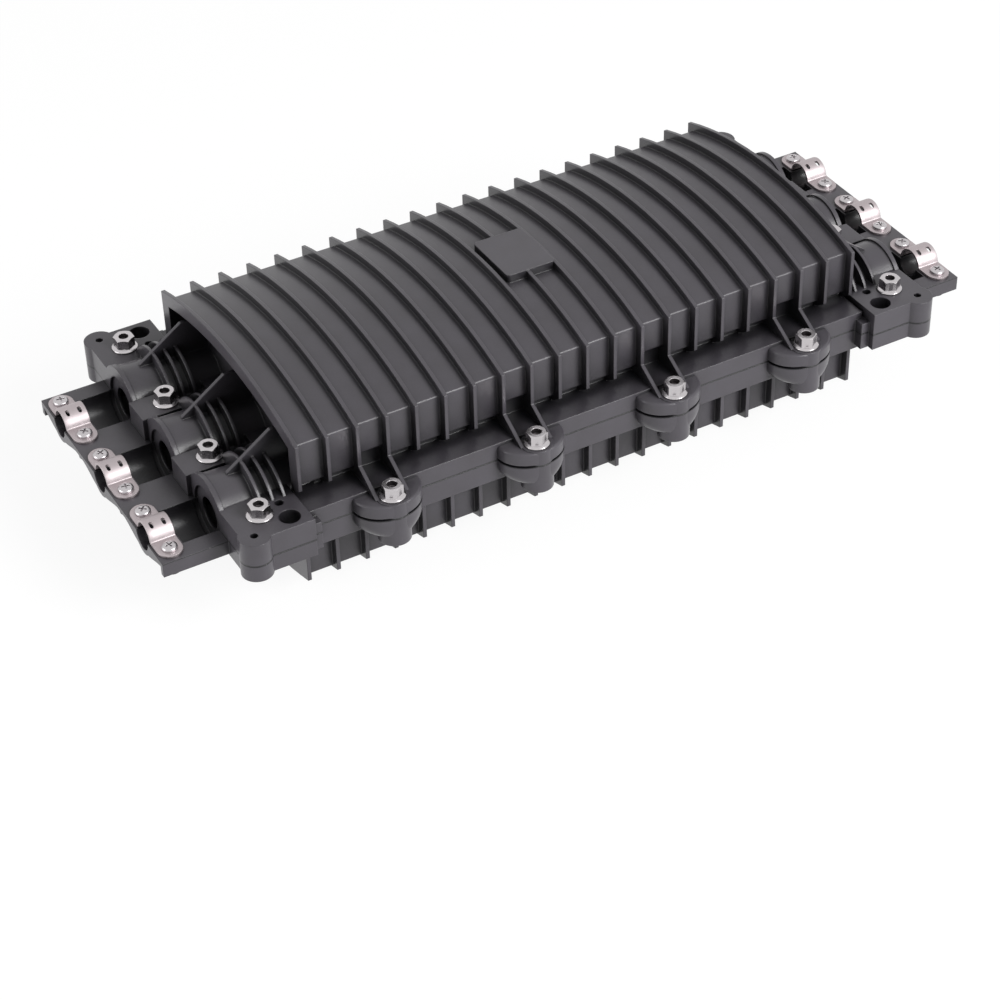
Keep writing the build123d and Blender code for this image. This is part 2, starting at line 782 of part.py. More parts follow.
with BuildPart() as plate_screws:
    add_pan_screws(
        plate_bosses_at,
        plate_level - joint_z,
        plate_screw_radius,
        plate_screw_length,
        plate_screw_head_radius,
        plate_screw_head_height,
    )
plate_screws.part.label = "plate_screws"
export_step(plate_screws.part, "parts/plate_screws.step")

# Posts that the spare fibre is wound round: a flanged drum on a round foot
for i, place in enumerate(posts_at):
    with BuildPart() as post_foot:
        with BuildSketch(Plane.XY.offset(plate_level)):
            with Locations(place):
                Circle(post_foot_radius)
                Circle(post_bore_radius, mode=Mode.SUBTRACT)
        extrude(amount=post_foot_height, taper=8)
    post_foot.part.label = f"post_foot_{i + 1}"
    export_step(post_foot.part, f"parts/post_foot_{i + 1}.step")

    with BuildPart() as storage_post:
        post_bottom = plate_level + post_foot_height
        with BuildSketch(Plane.XY.offset(post_bottom)):
            with Locations(place):
                Circle(post_radius)
        extrude(amount=post_height)
        with BuildSketch(
            Plane.XY.offset(post_bottom), Plane.XY.offset(post_bottom + post_height - post_flange)
        ):
            with Locations(place):
                Circle(post_flange_radius)
        extrude(amount=post_flange)
        with BuildSketch(Plane.XY.offset(post_bottom)):
            with Locations(place):
                Circle(post_bore_radius)
        extrude(amount=post_height, mode=Mode.SUBTRACT)
    storage_post.part.label = f"storage_post_{i + 1}"
    export_step(storage_post.part, f"parts/storage_post_{i + 1}.step")


def draw_tray_outline(inset=0.0):
    """The plan of a splice tray: a rectangle with its corners cut off."""
    half_x = tray_length / 2 - inset
    half_y = tray_width / 2 - inset
    cut = tray_corner - inset * (2 - sqrt(2))
    Polygon(
        (half_x, half_y - cut),
        (half_x - cut, half_y),
        (cut - half_x, half_y),
        (-half_x, half_y - cut),
        (-half_x, cut - half_y),
        (cut - half_x, -half_y),
        (half_x - cut, -half_y),
        (half_x, cut - half_y),
        align=None,
    )


# Splice trays, stacked: each wall carries the tray above it
for i in range(tray_count):
    tray_bottom = plate_level + i * tray_pitch
    with BuildPart() as splice_tray:
        with BuildSketch(Plane.XY.offset(tray_bottom)):
            draw_tray_outline()
        extrude(amount=tray_pitch)
        with BuildSketch(Plane.XY.offset(tray_bottom + tray_floor)):
            draw_tray_outline(tray_wall)
        extrude(amount=tray_pitch, mode=Mode.SUBTRACT)
        with BuildSketch(Plane.XY.offset(tray_bottom + tray_floor)):
            with GridLocations(tray_notch_pitch, tray_width, 2, 2):
                Rectangle(tray_notch_width, 4 * tray_wall)
        extrude(amount=tray_pitch, mode=Mode.SUBTRACT)
        with BuildSketch(Plane.XY.offset(tray_bottom)):
            with GridLocations(2 * tray_hub_x, 0, 2, 1):
                Circle(tray_hub_radius)
                Circle(tray_hub_radius - tray_wall, mode=Mode.SUBTRACT)
        extrude(amount=tray_hub_height)
        with BuildSketch(Plane.XY.offset(tray_bottom)):
            Rectangle(splice_length, splice_width)
        extrude(amount=tray_floor + splice_height)
        with BuildSketch(Plane.XY.offset(tray_bottom + tray_floor)):
            with GridLocations(0, splice_groove_pitch, 1, splice_groove_count):
                Rectangle(2 * splice_length, splice_groove_pitch / 2)
        extrude(amount=tray_pitch, mode=Mode.SUBTRACT)
        with BuildSketch(Plane.XY.offset(tray_bottom)):
            with Locations(*studs_at):
                Circle(stud_boss_radius)
        extrude(amount=tray_pitch)
        with BuildSketch(Plane.XY.offset(tray_bottom)):
            with Locations(*studs_at):
                Circle(stud_radius + stud_clearance)
        extrude(amount=tray_pitch, mode=Mode.SUBTRACT)
    splice_tray.part.label = f"splice_tray_{i + 1}"
    export_step(splice_tray.part, f"parts/splice_tray_{i + 1}.step")

# Clear cover over the top tray, and the studs and nuts that hold the stack
cover_bottom = plate_level + tray_count * tray_pitch
with BuildPart() as tray_cover:
    with BuildSketch(Plane.XY.offset(cover_bottom)):
        draw_tray_outline()
        with Locations(*studs_at):
            Circle(stud_radius + stud_clearance, mode=Mode.SUBTRACT)
        with GridLocations(cover_hole_pitch, cover_hole_pitch, 3, 2):
            Circle(cover_hole_radius, mode=Mode.SUBTRACT)
    extrude(amount=cover_sheet)
tray_cover.part.label = "tray_cover"
export_step(tray_cover.part, "parts/tray_cover.step")

cover_top = cover_bottom + cover_sheet
with BuildPart() as tray_studs:
    with BuildSketch(Plane.XY.offset(plate_level - plate_sheet)):
        with Locations(*studs_at):
            Circle(stud_radius)
    extrude(amount=cover_top + nut_height + stud_end - plate_level + plate_sheet)
tray_studs.part.label = "tray_studs"
export_step(tray_studs.part, "parts/tray_studs.step")

with BuildPart() as tray_nuts:
    with BuildSketch(Plane.XY.offset(cover_top)):
        with Locations(*studs_at):
            RegularPolygon(nut_radius, 6)
        with Locations(*studs_at):
            Circle(stud_radius, mode=Mode.SUBTRACT)
    extrude(amount=nut_height)
tray_nuts.part.label = "tray_nuts"
export_step(tray_nuts.part, "parts/tray_nuts.step")
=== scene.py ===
# %% [markdown]
# # A fibre distribution box, dressed for its picture
#
# The box is a long plastic housing that joins fibre cables outdoors. A finned lid is bolted to a
# finned base, three cables enter at each end under folded steel clamps, and splice trays are stacked
# inside. The solid model is loaded first and never changed: this script gives it its surfaces, draws
# the small hardware again in finer detail, adds the cheeks of the side lugs, and sets up the light
# and the camera.

# %% Load the frame
import json
import math

import bmesh
import bpy
from mathutils import Matrix, Vector


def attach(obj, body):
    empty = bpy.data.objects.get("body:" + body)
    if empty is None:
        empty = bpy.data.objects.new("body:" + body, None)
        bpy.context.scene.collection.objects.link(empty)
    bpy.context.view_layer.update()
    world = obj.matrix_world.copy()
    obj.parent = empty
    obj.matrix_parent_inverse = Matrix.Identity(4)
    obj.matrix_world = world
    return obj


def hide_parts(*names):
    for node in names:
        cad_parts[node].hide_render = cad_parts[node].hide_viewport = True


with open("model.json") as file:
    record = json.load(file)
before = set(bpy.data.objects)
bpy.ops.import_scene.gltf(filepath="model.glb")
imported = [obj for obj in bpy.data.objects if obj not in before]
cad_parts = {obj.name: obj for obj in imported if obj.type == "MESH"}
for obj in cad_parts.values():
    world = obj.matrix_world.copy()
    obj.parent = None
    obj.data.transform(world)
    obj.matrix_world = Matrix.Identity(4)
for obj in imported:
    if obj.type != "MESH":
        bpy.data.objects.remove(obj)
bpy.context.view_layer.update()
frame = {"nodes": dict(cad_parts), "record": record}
nodes = frame["nodes"]
mm = 0.001

# %% [markdown]
# ## Colours and nodes
#
# Colours are picked as the hex codes that an image editor shows. Blender mixes light in linear
# values, so one function turns each code into them. A second function adds a shader node: an input
# that is given a socket is linked, and any other input is set. Two more start a material and turn a
# size in millimetres into the scale of a noise. They keep each material below short, and easy to
# compare with the next.

# %% Helpers for colours and nodes


def colour(code, alpha=1.0):
    """A hex code such as 55525A as linear red, green, blue and alpha."""
    channels = [int(code[i : i + 2], 16) / 255 for i in (0, 2, 4)]
    linear = [c / 12.92 if c <= 0.04045 else ((c + 0.055) / 1.055) ** 2.4 for c in channels]
    return (*linear, alpha)


def add_node(tree, kind, inputs=None, **settings):
    """Adds one shader node, with its settings, and links or sets its inputs."""
    made = tree.nodes.new("ShaderNode" + kind)
    for name, value in settings.items():
        setattr(made, name, value)
    for name, value in (inputs or {}).items():
        if isinstance(value, bpy.types.NodeSocket):
            tree.links.new(value, made.inputs[name])
        else:
            made.inputs[name].default_value = value
    return made


def start_material(name):
    """A new material with its node tree, its shader and the place of each surface point."""
    made = bpy.data.materials.new(name)
    made.use_nodes = True
    tree = made.node_tree
    shader = tree.nodes["Principled BSDF"]
    place = add_node(tree, "TexCoord").outputs["Object"]
    return made, tree, shader, place


def per_mm(size):
    """The noise scale at which one lump of the pattern is about this many millimetres wide."""
    return 1 / (size * mm)


print("mid grey 808080 is", round(colour("808080")[0], 3), "in linear light")

# %% [markdown]
# ## Moulded plastics
#
# The shells are injection moulded in glass-filled polypropylene, coloured through with carbon black.
# The steel mould was spark-eroded, which leaves a fine even grain, and the plastic shrinks a little
# round the thick places, which bends its reflections gently. Two noises make those two sizes of
# relief. The real grain is about 0.1 mm, too fine to show, so it is drawn coarser. The corners of a
# moulding are never sharp, so a bevel node rounds them for the light. The mounting plate and the
# trays are moulded in pale ABS and the feet in black nylon. They have the same grain with another
# colour and a duller shine.

# %% Moulded plastics
grain_size = 0.9
sink_size = 45.0
blotch_size = 18.0
corner_round = 0.8


def moulded_plastic(name, dark, light, roughness):
    """A moulded plastic: fine grain, soft waves and rounded corners."""
    made, tree, shader, place = start_material(name)
    blotch = add_node(tree, "TexNoise", {"Vector": place, "Scale": per_mm(blotch_size), "Detail": 3.0})
    tint = add_node(tree, "ValToRGB", {"Fac": blotch.outputs["Fac"]})
    tint.color_ramp.elements[0].position = 0.3
    tint.color_ramp.elements[0].color = colour(dark)
    tint.color_ramp.elements[1].position = 0.7
    tint.color_ramp.elements[1].color = colour(light)
    grain = add_node(tree, "TexNoise", {"Vector": place, "Scale": per_mm(grain_size), "Detail": 2.0})
    sink = add_node(tree, "TexNoise", {"Vector": place, "Scale": per_mm(sink_size), "Detail": 1.0})
    rounded = add_node(tree, "Bevel", {"Radius": corner_round * mm}, samples=6)
    waves = add_node(
        tree,
        "Bump",
        {"Height": sink.outputs["Fac"], "Distance": 0.6 * mm, "Strength": 0.6, "Normal": rounded.outputs[0]},
    )
    relief = add_node(
        tree,
        "Bump",
        {"Height": grain.outputs["Fac"], "Distance": 0.05 * mm, "Strength": 0.5, "Normal": waves.outputs[0]},
    )
    gloss = add_node(
        tree,
        "MapRange",
        {"Value": grain.outputs["Fac"], "To Min": roughness - 0.05, "To Max": roughness + 0.05},
    )
    tree.links.new(tint.outputs["Color"], shader.inputs["Base Color"])
    tree.links.new(relief.outputs["Normal"], shader.inputs["Normal"])
    tree.links.new(gloss.outputs["Result"], shader.inputs["Roughness"])
    shader.inputs["IOR"].default_value = 1.49
    return made


shell_plastic = moulded_plastic("moulded_polypropylene", "434045", "49464C", 0.32)
plate_plastic = moulded_plastic("moulded_pale_grey_abs", "D5D3D5", "DBD9DB", 0.42)
tray_plastic = moulded_plastic("moulded_pale_abs", "D0CECF", "D8D6D7", 0.38)
foot_plastic = moulded_plastic("moulded_black_nylon", "1F1F21", "262628", 0.45)
print("made", shell_plastic.name, plate_plastic.name, tray_plastic.name, foot_plastic.name)

# %% [markdown]
# ## Painted shade in the corners and at the seam
#
# The real plastic is glossy enough to mirror the dark walls beside it, so its inner corners and
# recesses look nearly black. That shade is painted into the colour: the Ambient Occlusion node
# measures how much of its surroundings a point can see, and that value darkens the colour where
# little is seen. The gap between the two shells is under a millimetre wide, so its shade is painted
# too: the height above the joint gives a dark line, and the surface's own direction keeps that line
# off the level faces.

# %% Corners and seam
joint_height = 53.2
seam_width = 0.7
corner_reach = 30.0
# The near-black colour of the painted shade
shade = colour("0E0E10")


def paint_shade(made, share):
    """Paints shade: keeps the colour where the share is one, and fades it to nearly black where it is nought.
    """
    tree = made.node_tree
    shader = tree.nodes["Principled BSDF"]
    tint = shader.inputs["Base Color"].links[0].from_socket
    shaded = add_node(tree, "MixRGB", {"Fac": share, "Color1": shade, "Color2": tint})
    tree.links.new(shaded.outputs["Color"], shader.inputs["Base Color"])


def paint_corner_shade(made):
    """Painted shade: narrow inner corners and deep recesses, which get little light, are painted darker than
    open faces.
    """
    tree = made.node_tree
    open_sky = add_node(tree, "AmbientOcclusion", {"Distance": corner_reach * mm}, samples=8)
    share = add_node(
        tree, "MapRange", {"Value": open_sky.outputs["AO"], "From Min": 0.35, "From Max": 0.82, "To Min": 0.1}
    )
    paint_shade(made, share.outputs["Result"])


def paint_seam_shade(made):
    """Painted shade of the fine gap where the two shells meet, as a dark line on their upright faces."""
    tree = made.node_tree
    coordinates = add_node(tree, "TexCoord").outputs
    height = add_node(tree, "SeparateXYZ", {"Vector": coordinates["Object"]}).outputs["Z"]
    above = add_node(tree, "Math", {0: height, 1: joint_height * mm}, operation="SUBTRACT")
    away = add_node(tree, "Math", {0: above.outputs[0]}, operation="ABSOLUTE")
    far = add_node(
        tree,
        "MapRange",
        {"Value": away.outputs[0], "From Min": seam_width / 2 * mm, "From Max": seam_width * mm},
    )
    facing = add_node(tree, "SeparateXYZ", {"Vector": coordinates["Normal"]}).outputs["Z"]
    flat = add_node(tree, "Math", {0: facing}, operation="ABSOLUTE")
    level = add_node(tree, "Math", {0: flat.outputs[0], 1: 0.5}, operation="GREATER_THAN")
    share = add_node(tree, "Math", {0: far.outputs["Result"], 1: level.outputs[0]}, operation="MAXIMUM")
    paint_shade(made, share.outputs[0])


# Painted shade in the shell's inner corners and recesses
paint_corner_shade(shell_plastic)
# Painted shade of the gap between the shells, a dark line at the joint
paint_seam_shade(shell_plastic)
print("darkened corners and seam of", shell_plastic.name)

# %% [markdown]
# ## Stainless steel of the bolts and clamps
#
# The bolts are turned and cold-headed stainless steel, bright with fine turning marks. The clamps
# are stamped from rolled sheet, a little duller and streaked along the rolling direction. A metal
# has no colour of its own beneath its reflection, so the base colour is the tint of the reflection.
# The hollow of each bolt head is painted a dull, dark steel, as painted shade in the deep recess. The
# screws are zinc-plated steel, a little softer in their shine than the bolts, and the inserts are turned
# brass, which tints what it mirrors yellow. Real turning marks are finer than these, and wouldn't show.

# %% Metals
turning_pitch = 0.35
rolling_streak = 0.8
metal_edge = 0.25


def metal(name, tint, roughness, streak_size, stretch, relief):
    """A bright metal with fine marks that are stretched along one direction."""
    made, tree, shader, place = start_material(name)
    turned = add_node(tree, "Mapping", {"Vector": place, "Scale": stretch})
    marks = add_node(
        tree, "TexNoise", {"Vector": turned.outputs["Vector"], "Scale": per_mm(streak_size), "Detail": 4.0}
    )
    rounded = add_node(tree, "Bevel", {"Radius": metal_edge * mm}, samples=4)
    scratched = add_node(
        tree,
        "Bump",
        {"Height": marks.outputs["Fac"], "Distance": relief * mm, "Normal": rounded.outputs[0]},
    )
    gloss = add_node(
        tree,
        "MapRange",
        {"Value": marks.outputs["Fac"], "To Min": roughness - 0.06, "To Max": roughness + 0.08},
    )
    shader.inputs["Base Color"].default_value = colour(tint)
    shader.inputs["Metallic"].default_value = 1.0
    tree.links.new(gloss.outputs["Result"], shader.inputs["Roughness"])
    tree.links.new(scratched.outputs["Normal"], shader.inputs["Normal"])
    return made


bolt_steel = metal("turned_stainless_steel", "C2BEC0", 0.22, turning_pitch, (1, 1, 4), 0.01)
# Painted shade for the deep hollow of each bolt head: a dark, dull steel
hollow_shade_steel = metal("painted_shade_dark_steel", "4A4648", 0.5, turning_pitch, (1, 1, 1), 0.03)
clamp_steel = metal("rolled_stainless_sheet", "B3AAAC", 0.5, rolling_streak, (0.15, 2, 2), 0.015)
screw_steel = metal("zinc_plated_steel", "BFBBBD", 0.28, turning_pitch, (1, 1, 1), 0.01)
insert_brass = metal("turned_brass", "C9A55C", 0.25, turning_pitch, (1, 1, 4), 0.01)
print("made", bolt_steel.name, hollow_shade_steel.name, clamp_steel.name, screw_steel.name, insert_brass.name)

# %% [markdown]
# ## Rubber, milky nylon and clear sheet
#
# The gasket is extruded EPDM rubber, nearly black and dull. The storage posts are natural nylon,
# milky because light scatters a little way inside it. The cover over the top tray is clear
# polycarbonate sheet: its transmission and its IOR of 1.58 give it the sharp edge lines.

# %% Rubber, nylon and clear sheet
pore_size = 0.8
cloud_size = 3.0
ripple_size = 60.0

gasket_rubber, tree, shader, place = start_material("extruded_epdm_rubber")
pores = add_node(tree, "TexNoise", {"Vector": place, "Scale": per_mm(pore_size), "Detail": 2.0})
skin = add_node(tree, "Bump", {"Height": pores.outputs["Fac"], "Distance": 0.05 * mm})
tree.links.new(skin.outputs["Normal"], shader.inputs["Normal"])
shader.inputs["Base Color"].default_value = colour("1C1C1D")
shader.inputs["Roughness"].default_value = 0.7

post_nylon, tree, shader, place = start_material("natural_nylon")
cloud = add_node(tree, "TexNoise", {"Vector": place, "Scale": per_mm(cloud_size), "Detail": 2.0})
milk = add_node(tree, "Bump", {"Height": cloud.outputs["Fac"], "Distance": 0.05 * mm})
tree.links.new(milk.outputs["Normal"], shader.inputs["Normal"])
shader.inputs["Base Color"].default_value = colour("DEDCD2")
shader.inputs["Roughness"].default_value = 0.35
shader.inputs["Transmission Weight"].default_value = 0.35
shader.inputs["IOR"].default_value = 1.53

clear_sheet, tree, shader, place = start_material("clear_polycarbonate")
ripple = add_node(tree, "TexNoise", {"Vector": place, "Scale": per_mm(ripple_size), "Detail": 1.0})
wave = add_node(tree, "Bump", {"Height": ripple.outputs["Fac"], "Distance": 0.1 * mm})
tree.links.new(wave.outputs["Normal"], shader.inputs["Normal"])
shader.inputs["Base Color"].default_value = colour("F2F5F5")
shader.inputs["Roughness"].default_value = 0.06
shader.inputs["Transmission Weight"].default_value = 1.0
shader.inputs["IOR"].default_value = 1.58
print("made", gasket_rubber.name, post_nylon.name, clear_sheet.name)

# %% [markdown]
# ## Put the finishes on the solid pieces
#
# Each node of the frame names a material slot in its record. The table below says which finish
# each slot gets, so a piece that is added to the model later is finished without a new line here.

# %% Finishes by slot
finishes = {
    "shell_plastic": shell_plastic,
    "gasket_rubber": gasket_rubber,
    "bolt_steel": bolt_steel,
    "insert_brass": insert_brass,
    "clamp_steel": clamp_steel,
    "screw_steel": screw_steel,
    "plate_plastic": plate_plastic,
    "post_plastic": post_nylon,
    "foot_plastic": foot_plastic,
    "tray_plastic": tray_plastic,
    "clear_cover": clear_sheet,
}
for part in frame["record"]["subparts"]:
    solid = nodes[part["node"]]
    solid.data.materials.clear()
    solid.data.materials.append(finishes[part["material_slot"]])

# %% [markdown]
# ## Drawing pieces in millimetres
#
# The plain solids carry the shapes that matter most. The small hardware is drawn again here, with
# its threads, chamfers and folds. Every mesh is drawn in millimetres at its real place. Most small
# hardware is turned, so one function makes a closed form from a list of rings. A ring's radius may
# be a function of the angle, and that one idea gives hexagons, knurls and threads as well as round
# shapes.

# %% Turned forms


def add_ring_form(bm, centre, rings, sides=48, spin=0.0, closed=False):
    """A form turned about an upright axis: each ring has a height and a radius, or a rule for it."""
    loops = []
    for height, radius in rings:
        loop = []
        for k in range(sides):
            angle = 2 * math.pi * k / sides
            r = radius(angle) if callable(radius) else radius
            x = centre[0] + r * math.cos(angle + spin)
            y = centre[1] + r * math.sin(angle + spin)
            loop.append(bm.verts.new((x, y, centre[2] + height)))
        loops.append(loop)
    pairs = list(zip(loops, loops[1:]))
    if closed:
        pairs.append((loops[-1], loops[0]))
    else:
        bm.faces.new(list(reversed(loops[0])))
        bm.faces.new(loops[-1])
    for low, high in pairs:
        for k in range(sides):
            j = (k + 1) % sides
            bm.faces.new((low[k], low[j], high[j], high[k]))


def hexagon(across):
    """The radius of a hexagon at an angle, from its size across the flats."""
    return lambda angle: across / 2 / math.cos(angle % (math.pi / 3) - math.pi / 6)


def thread_rings(low, high, radius, pitch, depth, steps=8):
    """Rings of a threaded length: at each height the groove has turned on with the angle."""

    def rule(height):
        def at(angle):
            turn = (height / pitch - angle / (2 * math.pi)) % 1.0
            return radius - depth * max(0.0, 1.0 - abs(turn - 0.5) / 0.4)

        return at

    count = max(2, round((high - low) / pitch * steps))
    heights = [low + (high - low) * i / count for i in range(count + 1)]
    return [(height, rule(height)) for height in heights]


print("a hexagon of 10 mm reaches", round(hexagon(10.0)(0.0), 2), "mm at its corners")

# %% [markdown]
# ## Pieces and the places they take
#
# A finished drawing is cleaned, scaled to metres and made into a piece. The piece rides on a body of
# the frame, and it hides the plain nodes that it stands for. Their own meshes say where it belongs:
# a node may hold several like solids, so a walk along the edges finds the corners of each of them.

# %% Pieces and places


def make_piece(name, bm, finish, body, stands_for=(), smooth_below=35.0):
    """Turns a drawing in millimetres into a piece that rides on a body and stands for CAD nodes."""
    bmesh.ops.remove_doubles(bm, verts=bm.verts, dist=0.0005)
    bmesh.ops.recalc_face_normals(bm, faces=bm.faces)
    bmesh.ops.scale(bm, vec=(mm, mm, mm), verts=bm.verts)
    data = bpy.data.meshes.new(name)
    bm.to_mesh(data)
    bm.free()
    data.materials.append(finish)
    data.shade_smooth()
    data.set_sharp_from_angle(angle=math.radians(smooth_below))
    piece = bpy.data.objects.new(name, data)
    bpy.context.scene.collection.objects.link(piece)
    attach(piece, body)
    if stands_for:
        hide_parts(*stands_for)
    print(name, len(data.polygons), "faces on", body)
    return piece


def solids_of(node):
    """Lowest and highest corner, in millimetres, of each separate solid of a CAD node."""
    bm = bmesh.new()
    bm.from_mesh(nodes[node].data)
    bmesh.ops.remove_doubles(bm, verts=bm.verts, dist=0.002 * mm)
    unseen = set(bm.verts)
    found = []
    for start in bm.verts:
        if start not in unseen:
            continue
        unseen.discard(start)
        queue = [start]
        low, high = start.co.copy(), start.co.copy()
        while queue:
            vert = queue.pop()
            low = Vector(map(min, low, vert.co))
            high = Vector(map(max, high, vert.co))
            for edge in vert.link_edges:
                other = edge.other_vert(vert)
                if other in unseen:
                    unseen.discard(other)
                    queue.append(other)
        found.append((tuple(low / mm), tuple(high / mm)))
    bm.free()
    return sorted(found)


def middle(solid):
    """The middle of a solid in plan, in millimetres."""
    low, high = solid
    return (low[0] + high[0]) / 2, (low[1] + high[1]) / 2


bolt_nodes = ["side_bolts", "corner_bolts", "end_bolts"]
print({node: len(solids_of(node)) for node in bolt_nodes})

# %% [markdown]
# ## Bolts
#
# The lid is held by M6 hexagon bolts with a flange. They are cold-headed, so the head is dished in
# the middle and its corners are cut by a cone at 30 degrees, and the thread is rolled. The cone is
# made by lowering the ring below it: the further a point of the hexagon stands outside the cone's
# circle, the lower it comes. One flat of each head faces the photograph's view, give or take a few
# degrees, as bolts are done up. The head is drawn a little higher than the plain one, as the
# photograph shows it.

# %% Bolts
bolt_radius = 3.0
thread_pitch = 1.0
thread_depth = 0.55
head_across = 10.0
head_height = 7.2
solid_head_height = 6.4
flange_radius = 7.0
head_cone_radius = 4.75
cone_slope = math.radians(30)
dish_radius = 2.6
dish_depth = 3.2


def add_bolt(bm, x, y, bottom, seat, spin):
    """One bolt from its tip to its dished head, with heights above the joint."""
    sides = 48
    side = hexagon(head_across)
    top = seat + head_height
    shank = [(bottom, bolt_radius - 0.8), (bottom + 0.6, bolt_radius - 0.3)]
    shank += thread_rings(bottom + 0.6, 0.6, bolt_radius, thread_pitch, thread_depth)
    shank += [(0.9, bolt_radius - 0.05), (seat - 0.01, bolt_radius - 0.05)]
    flange = [
        (seat, flange_radius - 0.35),
        (seat + 0.12, flange_radius - 0.1),
        (seat + 0.4, flange_radius),
        (seat + 0.75, flange_radius - 0.08),
        (seat + 1.0, flange_radius - 0.35),
        (seat + 1.45, lambda angle: side(angle) + 0.45),
        (seat + 1.6, lambda angle: side(angle) + 0.12),
        (seat + 1.85, side),
    ]
    head = [(top - 0.5, side), (top, head_cone_radius), (top, dish_radius + 0.25)]
    dish = [
        (top - 0.15, dish_radius),
        (top - dish_depth + 0.5, dish_radius - 0.3),
        (top - dish_depth + 0.1, dish_radius - 0.9),
        (top - dish_depth, 0.02),
    ]
    first = len(bm.verts)
    add_ring_form(bm, (x, y, joint_height), shank + flange + head + dish, sides, spin)
    bm.verts.ensure_lookup_table()

    # The ring under the cone follows the corners of the hexagon down
    cone_ring = first + sides * len(shank + flange)
    for k in range(sides):
        beyond = max(side(2 * math.pi * k / sides) - head_cone_radius, 0.0)
        bm.verts[cone_ring + k].co.z = joint_height + top - beyond * math.tan(cone_slope)

    # The hollow of the head takes the second finish, a dark steel painted as shade in the recess
    for face in bm.faces:
        inside = all(math.hypot(v.co.x - x, v.co.y - y) < dish_radius + 0.01 for v in face.verts)
        if inside and face.calc_center_median().z > joint_height + seat:
            face.material_index = 1


for node, title in zip(bolt_nodes, ("side", "corner", "end")):
    bm = bmesh.new()
    for i, solid in enumerate(solids_of(node)):
        x, y = middle(solid)
        bottom = solid[0][2] - joint_height
        seat = solid[1][2] - joint_height - solid_head_height
        spin = math.radians(30 + (i * 7) % 9 - 4)
        add_bolt(bm, x, y, bottom, seat, spin)
    made = make_piece(f"{title}_flange_bolts", bm, bolt_steel, "lid", [node], 25.0)
    # The second finish is the dark steel painted as shade in the head's hollow
    made.data.materials.append(hollow_shade_steel)

# %% [markdown]
# ## Threaded inserts
#
# A steel thread would soon wear out in plastic, so each bolt runs in a brass insert that was pressed
# into the base while hot. Its knurls grip the plastic, and a chamfer leads the bolt in. It is a
# closed tube of rings: down the knurled outside and back up the threaded bore.

# %% Inserts
insert_radius = 4.2
insert_bore = 3.06
knurl_count = 24


def knurled(depth):
    """The radius of the knurled outside: small teeth along the axis."""
    return lambda angle: insert_radius - depth * abs(math.sin(knurl_count * angle / 2))


def insert_rings(bottom, top):
    """Rings of one insert, as heights above the joint: the outside from the top down, then the bore."""
    outside = [
        (top, insert_bore + 0.7),
        (top, insert_radius - 0.35),
        (top - 0.35, insert_radius),
        (top - 1.2, insert_radius),
        (top - 1.4, knurled(0.25)),
        (bottom + 3.0, knurled(0.25)),
        (bottom + 2.8, insert_radius - 0.5),
        (bottom + 2.0, insert_radius - 0.5),
        (bottom + 1.8, knurled(0.25)),
        (bottom + 0.5, knurled(0.25)),
        (bottom, insert_radius - 0.6),
        (bottom, insert_bore + 0.35),
    ]
    bore = thread_rings(bottom + 0.3, top - 0.6, insert_bore + 0.3, thread_pitch, 0.3)
    return outside + bore


for title in ("side", "corner", "end"):
    bm = bmesh.new()
    for solid in solids_of(f"{title}_inserts"):
        x, y = middle(solid)
        rings = insert_rings(solid[0][2] - joint_height, solid[1][2] - joint_height)
        add_ring_form(bm, (x, y, joint_height), rings, 48, closed=True)
    make_piece(f"{title}_threaded_inserts", bm, insert_brass, "base", [f"{title}_inserts"])

# %% [markdown]
# ## Cutting one mesh with another
#
# The slots of the clamps and the crosses of the screws are cut with Blender's Boolean modifier, and
# its result is kept as a plain mesh. The cutter is drawn in the same millimetres as the piece.

# %% Helper for cuts


def carve(bm, cutter):
    """The mesh bm with the mesh cutter taken away. Both drawings are used up."""
    shapes = []
    for drawing in (bm, cutter):
        bmesh.ops.recalc_face_normals(drawing, faces=drawing.faces)
        data = bpy.data.meshes.new("drawing")
        drawing.to_mesh(data)
        drawing.free()
        shape = bpy.data.objects.new("drawing", data)
        bpy.context.scene.collection.objects.link(shape)
        shapes.append(shape)
    cut = shapes[0].modifiers.new("cut", "BOOLEAN")
    cut.operation = "DIFFERENCE"
    cut.solver = "EXACT"
    cut.object = shapes[1]
    scene_now = bpy.context.evaluated_depsgraph_get()
    result = bmesh.new()
    result.from_mesh(shapes[0].evaluated_get(scene_now).to_mesh())
    for shape in shapes:
        data = shape.data
        bpy.data.objects.remove(shape)
        bpy.data.meshes.remove(data)
    return result


def add_prism(bm, outline, low, high, inset=0.0):
    """An upright prism from a flat outline. The inset narrows its lower end."""
    cx = sum(p[0] for p in outline) / len(outline)
    cy = sum(p[1] for p in outline) / len(outline)
    ends = []
    for height, pull in ((low, inset), (high, 0.0)):
        loop = []
        for x, y in outline:
            reach = math.hypot(x - cx, y - cy)
            share = 1 - pull / reach
            loop.append(bm.verts.new((cx + (x - cx) * share, cy + (y - cy) * share, height)))
        ends.append(loop)
    bm.faces.new(list(reversed(ends[0])))
    bm.faces.new(ends[1])
    for k in range(len(outline)):
        j = (k + 1) % len(outline)
        bm.faces.new((ends[0][k], ends[0][j], ends[1][j], ends[1][k]))


def stamp(bm, pattern, move):
    """Copies the mesh of a pattern into a drawing, moved to its place."""
    fresh = {vert: bm.verts.new(vert.co + Vector(move)) for vert in pattern.verts}
    for face in pattern.faces:
        bm.faces.new([fresh[vert] for vert in face.verts])


print("ready to cut and stamp")

